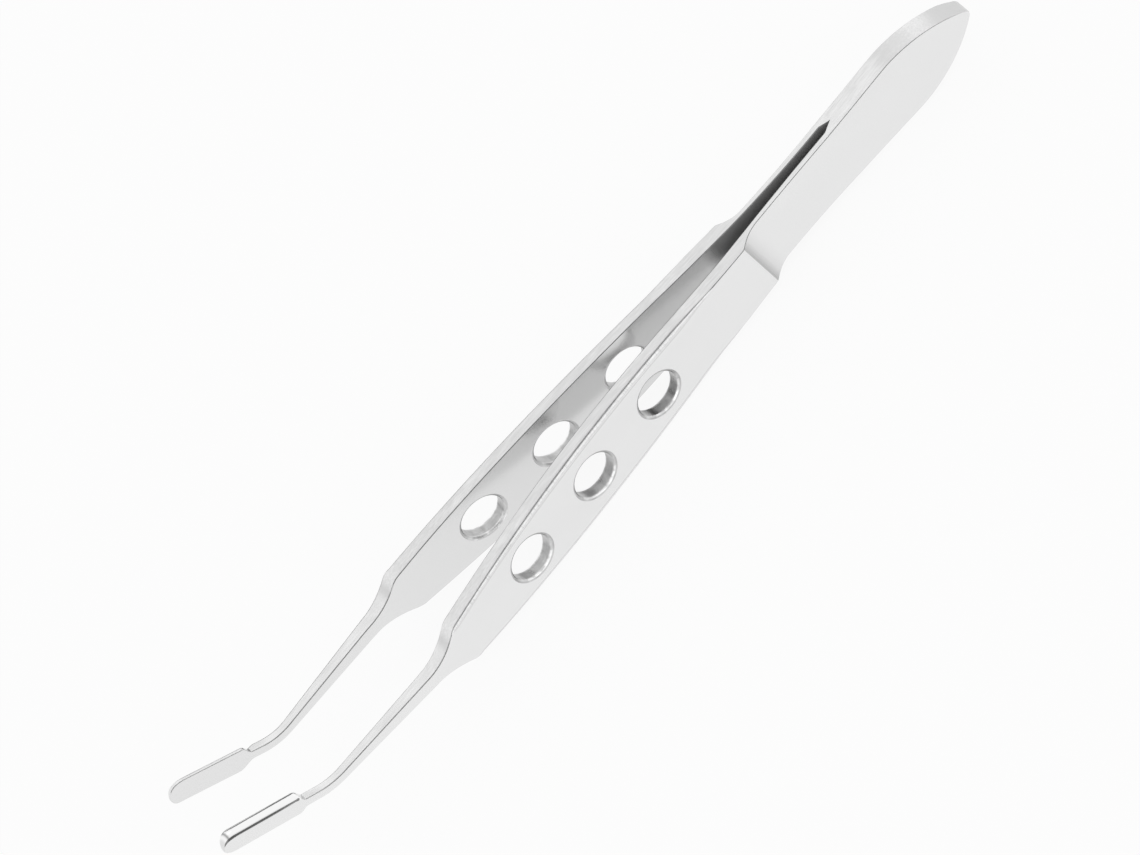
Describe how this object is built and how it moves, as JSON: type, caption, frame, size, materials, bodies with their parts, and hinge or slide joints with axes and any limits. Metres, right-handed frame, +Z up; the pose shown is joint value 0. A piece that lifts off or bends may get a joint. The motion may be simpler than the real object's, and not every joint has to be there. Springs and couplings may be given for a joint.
{
  "type": "meibomian gland forceps",
  "caption": "Slim sprung steel forceps with pierced handles and upturned jaws, a flat paddle facing a half-round bar, for pressing the glands along an eyelid's edge.",
  "frame": {"origin": "centre of the bounding box in plan, at the lowest edge of the handles", "axes": "+X from the jaws to the welded tail, +Y from the half-round jaw's arm to the flat jaw's arm, +Z up, the way the jaws turn"},
  "size_m": [0.108, 0.0112, 0.012],
  "materials": {
    "satin_steel": "satin ground stainless steel, with one mirror polished jaw"
  },
  "bodies": {
    "tail": {"welded_tail": "satin_steel"},
    "near": {"near_arm": "satin_steel"},
    "far": {"far_arm": "satin_steel"}
  },
  "joints": [
    {"name": "near_arm_flex", "type": "hinge", "parent": "tail", "child": "near", "pos_m": [0.03582, -0.00081, 0.00455], "axis": [0, 0, -1], "range_deg": [0, 2.4], "stiffness_Nm_per_rad": 0.5},
    {"name": "far_arm_flex", "type": "hinge", "parent": "tail", "child": "far", "pos_m": [0.03582, 0.00081, 0.00455], "axis": [0, 0, 1], "range_deg": [0, 2.4], "stiffness_Nm_per_rad": 0.5}
  ]
}
